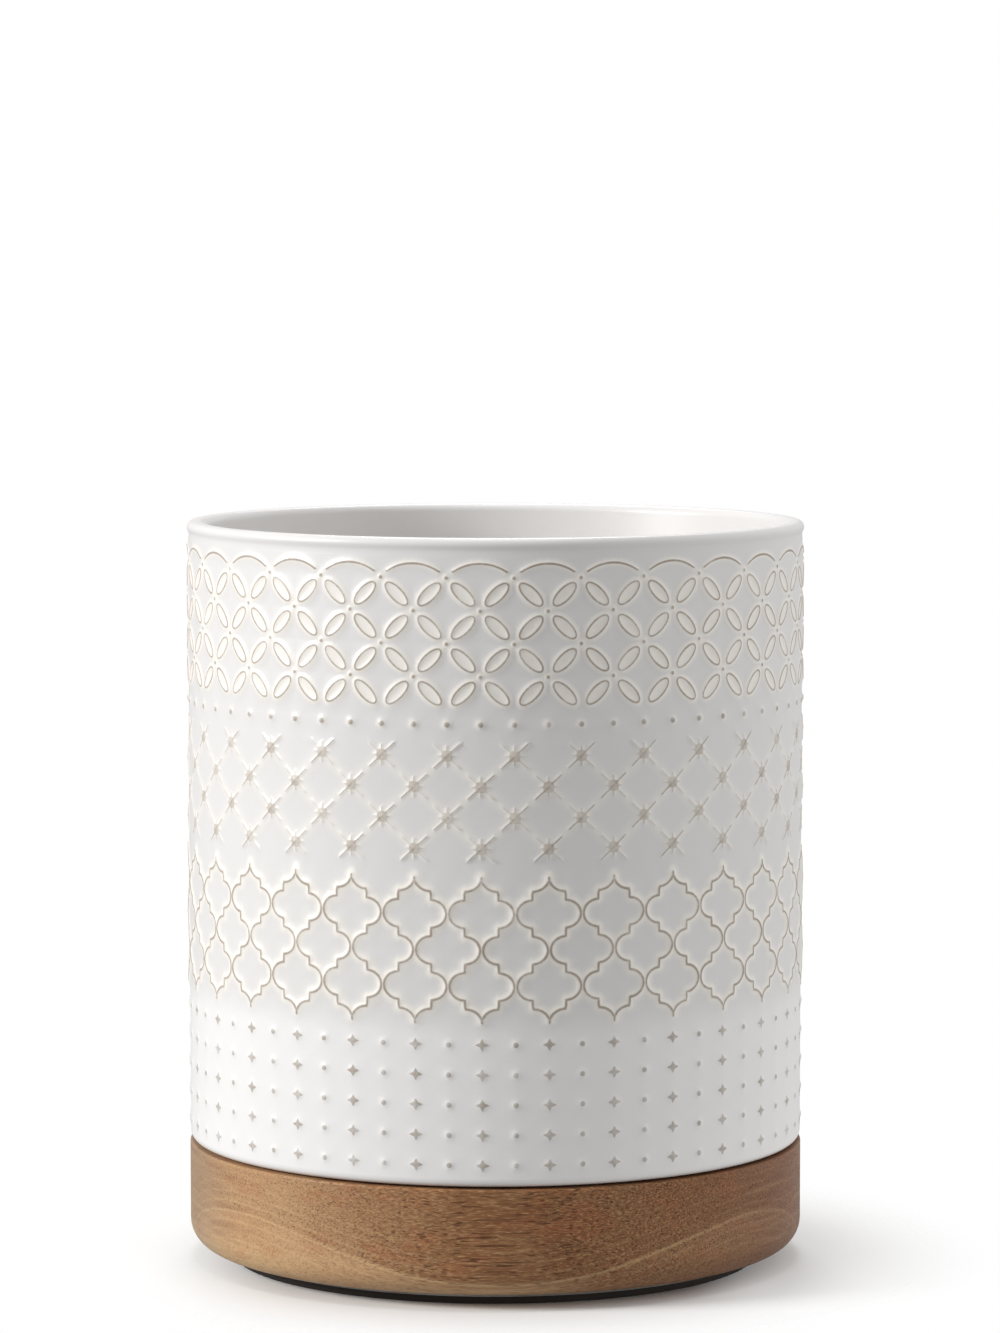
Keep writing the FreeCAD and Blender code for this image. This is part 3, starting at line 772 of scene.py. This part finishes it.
class Value:
    """A node's output. Arithmetic on one that gives a number adds Math nodes."""

    def __init__(self, finish, socket):
        self.finish = finish
        self.socket = socket

    def math(self, operation, *operands):
        return self.finish.node("ShaderNodeMath", {"operation": operation}, dict(enumerate(operands)))

    def __add__(self, other):
        return self.math("ADD", self, other)

    __radd__ = __add__

    def __sub__(self, other):
        return self.math("SUBTRACT", self, other)

    def __rsub__(self, other):
        return self.math("SUBTRACT", other, self)

    def __mul__(self, other):
        return self.math("MULTIPLY", self, other)

    __rmul__ = __mul__

    def __neg__(self):
        return self * -1

    def __pow__(self, other):
        return self.math("POWER", self, other)

    def ramp(self, start, end):
        """0 up to start, 1 from end on, and smooth between."""
        limits = {"interpolation_type": "SMOOTHSTEP"}
        sockets = {"Value": self, "From Min": start, "From Max": end, "To Min": 0.0, "To Max": 1.0}
        return self.finish.node("ShaderNodeMapRange", limits, sockets)


class Nodes:
    """A node tree, and the one way that nodes are added to it."""

    def __init__(self, tree):
        self.tree = tree

    def feed(self, socket, value):
        """Link or set a socket."""
        if isinstance(value, Value):
            self.tree.links.new(value.socket, socket)
        elif socket.type == "RGBA" and len(value) == 3:
            socket.default_value = (*value, 1)
        else:
            socket.default_value = value

    def node(self, kind, settings=None, sockets=None, output=0):
        """Add a node: its settings first, then the values or links of its sockets."""
        made = self.tree.nodes.new(kind)
        for name, value in (settings or {}).items():
            setattr(made, name, value)
        for name, value in (sockets or {}).items():
            self.feed(made.inputs[name], value)
        return Value(self, made.outputs[output])


class Finish(Nodes):
    """One material: a Principled surface and the nodes that vary it."""

    def __init__(self, name, constants):
        self.material = bpy.data.materials.new(name)
        self.material.use_nodes = True
        super().__init__(self.material.node_tree)
        self.surface = self.tree.nodes["Principled BSDF"]
        for socket, value in constants.items():
            self.feed(self.surface.inputs[socket], value)

    def place(self, scale=(1, 1, 1), turned=(0, 0, 0), moved=(0, 0, 0)):
        """Object coordinates in metres, scaled, turned and moved."""
        coordinates = self.node("ShaderNodeTexCoord", output="Object")
        sockets = {"Vector": coordinates, "Location": moved, "Rotation": turned, "Scale": scale}
        return self.node("ShaderNodeMapping", {"vector_type": "POINT"}, sockets)

    def split(self, vector):
        """The three numbers of a vector."""
        return [self.node("ShaderNodeSeparateXYZ", None, {"Vector": vector}, axis) for axis in "XYZ"]

    def noise(self, vector, scale=1.0, detail=3.0, roughness=0.5):
        """Noise from -0.5 to 0.5."""
        sockets = {"Vector": vector, "Scale": scale, "Detail": detail, "Roughness": roughness}
        return self.node("ShaderNodeTexNoise", {"noise_dimensions": "3D"}, sockets) - 0.5

    def attribute(self, name):
        settings = {"attribute_type": "GEOMETRY", "attribute_name": name}
        return self.node("ShaderNodeAttribute", settings, None, "Fac")

    def mix(self, factor, first, second):
        """A colour between two."""
        settings = {"data_type": "RGBA", "clamp_factor": True}
        return self.node("ShaderNodeMix", settings, {0: factor, 6: first, 7: second}, 2)

    def layer(self, ground, *coats):
        """A colour built up on a ground by coats, each with its mask, strength and colour."""
        for mask, strength, tint in coats:
            ground = self.mix(mask * strength, ground, tint)
        return ground

    def vary(self, **sockets):
        """Feed the surface's sockets, named with underscores."""
        for name, value in sockets.items():
            self.feed(self.surface.inputs[name.replace("_", " ")], value)

    def bump(self, height, distance, strength=1.0):
        sockets = {"Height": height, "Distance": distance, "Strength": strength}
        self.vary(Normal=self.node("ShaderNodeBump", None, sockets))


def darker(tint, share_left):
    """A colour scaled down to a share of itself."""
    return tuple(part * share_left for part in tint)


def glaze_finish(look, shell):
    """Warm white glaze that breaks to clay along the crests, on a bare foot. Its pooled glaze is partly
    painted shade of the hollows, and its lowest band is partly painted light bounced up from the table.
    """
    finish = Finish("warm_white_glaze", {"IOR": 1.5, "Coat Roughness": 0.3, "Specular IOR Level": 0.4})
    place = finish.place()
    across, deep, height = finish.split(place)
    radius = (across**2 + deep**2) ** 0.5
    broad = finish.noise(place, 34.0, detail=2.0)
    patch = finish.noise(place, 160.0, roughness=0.6)
    fine = finish.noise(place, 1300.0, roughness=0.6)
    clay = finish.attribute("clay")
    rise = finish.attribute("rise")
    band_top = (0.0648, 0.0748)
    glaze_line = (0.001, 0.0014)
    outside = radius.ramp(shell.radius - shell.wall, shell.radius - shell.wall / 2)
    # The lowest band of the outer wall is paler: partly thinner glaze, partly painted light bounced up from
    # the table
    bounce_lit_low_band = outside * (1 - height.ramp(*band_top))
    # Paler on the rises and darker in the hollows: partly thin and pooled glaze, partly painted shade of the
    # dished relief
    thin = (rise * 0.9 + broad * 0.25).ramp(0.0, 1.0) * (1 - bounce_lit_low_band * 0.65)
    broken = (clay * (1 + patch * 1.1 + fine * 0.7)).ramp(0.05, 1.0)
    bare = 1 - (height - shell.stand - patch * 0.0008).ramp(*glaze_line)
    body = finish.layer(
        look.pooled_glaze_and_shade,
        (bounce_lit_low_band, 1.0, look.low_glaze_and_bounce_light),
        (thin, 1.0, look.glaze_thin),
        (broken, 0.9, look.clay),
        (bare, 1.0, look.bare_clay),
    )
    finish.vary(
        Base_Color=body,
        Roughness=0.36 + broad * 0.06 + broken * 0.2 + bare * 0.45,
        Coat_Weight=0.1 * (1 - bare) * (1 - broken),
    )
    finish.bump(fine, 0.00004, 0.3)
    return finish.material


def wood_finish(look):
    """Oiled brown hardwood: rings about a centre below the front, with pores along the grain. Its lower left
    edge carries painted bounce light, its right side painted shade, and its left rim a painted grey
    reflection.
    """
    finish = Finish("oiled_hardwood", {"IOR": 1.47, "Coat Roughness": 0.4, "Specular IOR Level": 0.14})
    along, deep, high = finish.split(finish.place())
    leftward = -along
    wander = finish.noise(finish.place((14, 34, 34)), detail=2.0, roughness=0.4)
    ring_centre = (-0.044, -0.0312)
    ring_edge = 0.0496
    ring_pitch = 0.0024
    ring_sharpness = 8
    radius = ((deep - ring_centre[0]) ** 2 + (high - ring_centre[1]) ** 2) ** 0.5 + wander * 0.003
    inward = ring_edge - radius
    away = inward.math("ABSOLUTE", inward)
    phase = inward * (math.tau / ring_pitch) + wander * 5
    rings = (phase.math("COSINE", phase) * 0.5 + 0.5) ** ring_sharpness * (1 - away.ramp(0.003, 0.014))
    edge_line = 1 - away.ramp(0.0001, 0.0007)
    golden = inward.ramp(-0.0022, 0.0016) * (0.2 + leftward.ramp(-0.035, 0.005) * 0.68)
    golden = golden.math("MAXIMUM", golden, leftward.ramp(-0.005, 0.062) * 0.68)
    streak = finish.noise(finish.place((42, 1300, 1300)), roughness=0.6)
    fleck = finish.noise(finish.place((420, 3000, 3000)), roughness=0.65)
    pore_place = finish.place((85, 2300, 2300), moved=(3, 1, 2))
    pores = finish.noise(pore_place, detail=1.0, roughness=0.4).ramp(0.08, 0.2)
    figure = finish.noise(finish.place((55, 60, 60)), detail=2.0)
    strata = finish.noise(finish.place((40, 40, 800)), detail=2.0)
    blush = finish.noise(finish.place((75, 75, 170), moved=(7, 4, 1)), roughness=0.6)
    ends = along.math("ABSOLUTE", along).ramp(0.05, 0.072)
    low = 1 - high.ramp(0.0055, 0.013)
    # Painted bounce light: the lower left edge of the wood is made paler, as if lit from the floor
    bounce_lit_left_flank = leftward.ramp(0.035, 0.062)
    # Painted reflection: the wood's left rim made greyer
    reflection_left_rim = leftward.ramp(0.062, 0.077)
    # Painted shade: the right side of the wood darker, and its lower right edge darker still
    shaded_right_half = along.ramp(-0.005, 0.04)
    shaded_right_flank = along.ramp(0.035, 0.076)
    body = finish.layer(
        look.heartwood,
        (golden, 1.0, look.sapwood),
        # Painted bounce light on the lower left edge
        (bounce_lit_left_flank * low, 0.85, look.growth_line),
        (blush.ramp(-0.02, 0.16) * (1 - golden * 0.5), 0.5, look.blush),
        (streak.ramp(-0.02, 0.26) * (1 - golden * 0.6), 0.75, look.streak),
        (figure.ramp(-0.1, 0.3), 0.14, look.growth_line),
        (rings * (0.16 + golden * 0.34) + edge_line * 0.36, 1.0, look.growth_line),
        (fleck.ramp(0.0, 0.17), 0.45, look.growth_line),
        ((-fleck).ramp(0.0, 0.17) * (1 - golden * 0.6), 0.45, look.pore),
        (pores * (1 - golden * 0.75), 0.8, look.pore),
        (strata.ramp(0.0, 0.2) * ends, 0.25, look.growth_line),
        ((-strata).ramp(0.0, 0.2) * ends, 0.3, look.streak),
        # Painted grey reflection on the left rim
        (reflection_left_rim, 0.5, look.rim_reflection_grey),
        # Painted shade on the right side and on the lower right edge
        (shaded_right_flank, 0.48, look.streak),
        (shaded_right_half * low, 0.36, look.pore),
    )
    finish.vary(
        Base_Color=body,
        Roughness=0.46 + pores * 0.2 + streak * 0.1,
        Coat_Weight=0.03 * (1 - pores),
    )
    finish.bump((1 - pores) + fleck * 0.3, 0.00008, 0.5)
    return finish.material


def turned_metal(name, base, roughness):
    """Metal turned on a lathe: fine grooves round the axis."""
    finish = Finish(name, {"Metallic": 1.0})
    place = finish.place()
    across, deep, high = finish.split(place)
    radius = (across**2 + deep**2) ** 0.5
    groove_grey = (0.35, 0.35, 0.36)
    grooves_per_metre = 9000
    sockets = {"X": radius * grooves_per_metre, "Y": high * grooves_per_metre, "Z": 0.0}
    groove_place = finish.node("ShaderNodeCombineXYZ", None, sockets)
    grooves = finish.noise(groove_place, detail=2.0, roughness=0.6)
    cloud = finish.noise(place, 70.0)
    shade = grooves.ramp(-0.3, 0.3) * 0.35 + (cloud + 0.5) * 0.15
    finish.vary(
        Base_Color=finish.mix(shade, base, groove_grey),
        Roughness=roughness + grooves * 0.18 + cloud * 0.1,
    )
    finish.bump(grooves, 0.00003, 0.5)
    return finish.material


def plated_metal(name, base, roughness):
    """Plated steel with faint clouds and fine scratches."""
    finish = Finish(name, {"Metallic": 1.0})
    cloud = finish.noise(finish.place(), 110.0, detail=4.0, roughness=0.6)
    scratch = finish.noise(finish.place((2400, 120, 600), turned=(0, 0, 0.6)), detail=2.0)
    dull = cloud.ramp(-0.2, 0.25)
    finish.vary(
        Base_Color=finish.mix(dull * 0.4, base, darker(base, 0.62)),
        Roughness=roughness + cloud * 0.2 + scratch * 0.1,
    )
    finish.bump(scratch * 0.5 + cloud * 0.5, 0.00003, 0.4)
    return finish.material


def moulded(name, base, roughness, grain, depth):
    """Moulded plastic or rubber with a fine grain."""
    finish = Finish(name, {"IOR": 1.5, "Specular IOR Level": 0.25})
    place = finish.place()
    pebble = finish.noise(place, grain, detail=2.0)
    cloud = finish.noise(place, 60.0)
    finish.vary(
        Base_Color=finish.mix(cloud.ramp(-0.25, 0.25) * 0.5, base, darker(base, 0.72)),
        Roughness=roughness + pebble * 0.2 + cloud * 0.12,
    )
    finish.bump(pebble, depth, 0.6)
    return finish.material


def dress(material, *nodes):
    """Give packed nodes a material in place of their plain one."""
    for node in nodes:
        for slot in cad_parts[node].material_slots:
            slot.material = material


class CROCK_OT_shell(bpy.types.Operator):
    """Model the embossed stoneware crock"""

    bl_idname = "crock.shell"
    bl_label = "Embossed crock"

    def execute(self, context):
        scene = context.scene
        shell, relief, look = scene.crock_shell, scene.crock_relief, scene.crock_colours
        ground = shell.radius - relief.foot - relief.crest
        columns = shell.steps // (2 * relief.repeats)
        below, within = shell_outlines(shell, relief, ground)
        pieces = [
            emboss("embossed_crock", relief, ground, columns),
            turn_outline("below", below, shell.steps),
            turn_outline("within", within, shell.steps),
        ]
        crock = join(pieces, "embossed_crock", merge=relief.half_line * 0.05)
        require_closed(crock)
        lean_about_axis(crock, relief)
        crock.data.materials.clear()
        crock.data.materials.append(glaze_finish(look, shell))
        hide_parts("crock")
        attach(crock, "crock")
        return {"FINISHED"}


class CROCK_OT_wood(bpy.types.Operator):
    """Finish the turned wooden base"""

    bl_idname = "crock.wood"
    bl_label = "Wooden base"

    def execute(self, context):
        dress(wood_finish(context.scene.crock_colours), "wood_base")
        return {"FINISHED"}


class CROCK_OT_bearing(bpy.types.Operator):
    """Finish the races, balls, cage and screws of the bearing"""

    bl_idname = "crock.bearing"
    bl_label = "Bearing"

    def execute(self, context):
        look = context.scene.crock_colours
        races = [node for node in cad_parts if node.endswith(("_race", "_upper", "_lower"))]
        balls = [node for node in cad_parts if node.startswith("ball_") and node != "ball_cage"]
        dress(turned_metal("turned_aluminium", look.aluminium, roughness=0.34), *races)
        dress(plated_metal("ball_steel", look.ball_steel, roughness=0.14), *balls)
        dress(moulded("cage_nylon", look.nylon, roughness=0.5, grain=2600.0, depth=0.00003), "ball_cage")
        dress(plated_metal("zinc_screws", look.zinc, roughness=0.32), "base_screws", "foot_screws")
        return {"FINISHED"}


class CROCK_OT_foot(bpy.types.Operator):
    """Finish the foot plate, the rubber ring and the seat pads"""

    bl_idname = "crock.foot"
    bl_label = "Foot"

    def execute(self, context):
        look = context.scene.crock_colours
        pads = [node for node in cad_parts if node.startswith("seat_pad")]
        dress(plated_metal("foot_plate_steel", look.plate, roughness=0.75), "foot_plate")
        dress(moulded("foot_rubber", look.rubber, roughness=0.62, grain=1800.0, depth=0.00005), "foot_ring")
        dress(moulded("pad_silicone", look.silicone, roughness=0.42, grain=2200.0, depth=0.00003), *pads)
        return {"FINISHED"}


def floor_finish(look, stage):
    """Pale floor that fades out into the white behind it. Beside the crock it fades further to the left and
    right, a painted lift of the shadows there.
    """
    finish = Finish("pale_floor", {"Base Color": look.floor, "Roughness": 0.9, "Specular IOR Level": 0.1})
    across, deep, _ = finish.split(finish.place())
    radius = (across**2 + deep**2) ** 0.5
    fade = radius.ramp(stage.floor_near, stage.floor_far)
    # Beside the crock the floor shows less to the left and right, so the white behind shows through: painted
    # light that lifts the shadows
    left = 1 - across.ramp(-0.085, -0.05)
    right = across.ramp(0.045, 0.066)
    shade = (1 - left * (1 - stage.floor_left_shadow_lift)) * (1 - right * (1 - stage.floor_right_shadow_lift))
    finish.vary(Alpha=(1 - fade) * shade)
    return finish.material


def direction(around, up):
    """A direction from degrees round the crock, starting at its front, and degrees above the table."""
    around, up = math.radians(around), math.radians(up)
    return Vector((math.sin(around) * math.cos(up), -math.cos(around) * math.cos(up), math.sin(up)))


def area_light(name, watts, size, target, outward):
    """A soft square light that faces a target."""
    light = bpy.data.lights.new(name, "AREA")
    light.energy = watts
    light.size = size
    holder = bpy.data.objects.new(name, light)
    holder.location = target + outward
    holder.rotation_euler = outward.to_track_quat("Z", "Y").to_euler()
    bpy.context.scene.collection.objects.link(holder)


def light_world(stage):
    """Even light from all round and a soft fill on the right, before a white background."""
    world = bpy.data.worlds.new("studio")
    bpy.context.scene.world = world
    world.use_nodes = True
    nodes = Nodes(world.node_tree)
    towards = nodes.node("ShaderNodeTexCoord", output="Generated")
    fill_side = direction(100, 10)
    sockets = {0: towards, 1: fill_side}
    facing = nodes.node("ShaderNodeVectorMath", {"operation": "DOT_PRODUCT"}, sockets, "Value")
    light = stage.sky + facing.math("MAXIMUM", facing, 0.0) * stage.fill
    seen = nodes.node("ShaderNodeLightPath", output="Is Camera Ray")
    background = world.node_tree.nodes["Background"]
    nodes.feed(background.inputs["Color"], (1, 1, 1))
    nodes.feed(background.inputs["Strength"], light * (1 - seen) + seen)


def add_camera(scene, stage):
    """A camera before the crock that looks slightly down on it."""
    camera = bpy.data.cameras.new("camera")
    camera.lens = stage.focal
    camera.sensor_width = stage.sensor
    camera.clip_end = stage.floor_width * 2
    holder = bpy.data.objects.new("camera", camera)
    holder.location = (0, -stage.camera_distance, stage.camera_height)
    holder.rotation_euler = (math.pi / 2 - stage.camera_pitch, 0, -stage.camera_aim)
    scene.collection.objects.link(holder)
    scene.camera = holder


class CROCK_OT_stage(bpy.types.Operator):
    """Set up the floor, the studio light and the camera"""

    bl_idname = "crock.stage"
    bl_label = "Stage"

    def execute(self, context):
        stage, look = context.scene.crock_stage, context.scene.crock_colours
        deselect()
        bpy.ops.mesh.primitive_plane_add(size=stage.floor_width, location=CENTRE)
        floor = context.object
        floor.name = "floor"
        floor.data.materials.append(floor_finish(look, stage))
        floor.visible_diffuse = False
        middle = Vector((0, 0, CROCK_HIGH.z / 2))
        lamps = {
            "key": (stage.key, direction(-75, 20)),
            "top": (stage.top, direction(0, 88)),
            "back": (stage.back, direction(180, 45)),
        }
        for name, (watts, outward) in lamps.items():
            area_light(name, watts, stage.panel, middle, stage.panel_distance * outward)
        light_world(stage)
        add_camera(context.scene, stage)
        context.scene.view_settings.view_transform = "Standard"
        return {"FINISHED"}


class CROCK_PT_sidebar(bpy.types.Panel):
    """Sizes, colours and steps of the crock"""

    bl_label = "Utensil crock"
    bl_space_type = "VIEW_3D"
    bl_region_type = "UI"
    bl_category = "Crock"

    def draw(self, context):
        for operator in OPERATORS:
            self.layout.operator(operator.bl_idname)
        for group, name in GROUPS.items():
            box = self.layout.box()
            settings = getattr(context.scene, name)
            box.label(text=group.__doc__)
            for prop in group.__annotations__:
                box.prop(settings, prop)


GROUPS = {
    ShellSizes: "crock_shell",
    ReliefSizes: "crock_relief",
    Colours: "crock_colours",
    StageSizes: "crock_stage",
}
OPERATORS = (CROCK_OT_shell, CROCK_OT_wood, CROCK_OT_bearing, CROCK_OT_foot, CROCK_OT_stage)
CLASSES = (*GROUPS, *OPERATORS, CROCK_PT_sidebar)


def register():
    for item in CLASSES:
        bpy.utils.register_class(item)
    for group, name in GROUPS.items():
        setattr(bpy.types.Scene, name, PointerProperty(type=group))


def unregister():
    for name in GROUPS.values():
        delattr(bpy.types.Scene, name)
    for item in reversed(CLASSES):
        bpy.utils.unregister_class(item)


def main():
    register()
    for operator in OPERATORS:
        group, name = operator.bl_idname.split(".")
        getattr(getattr(bpy.ops, group), name)()


if __name__ == "__main__":
    main()
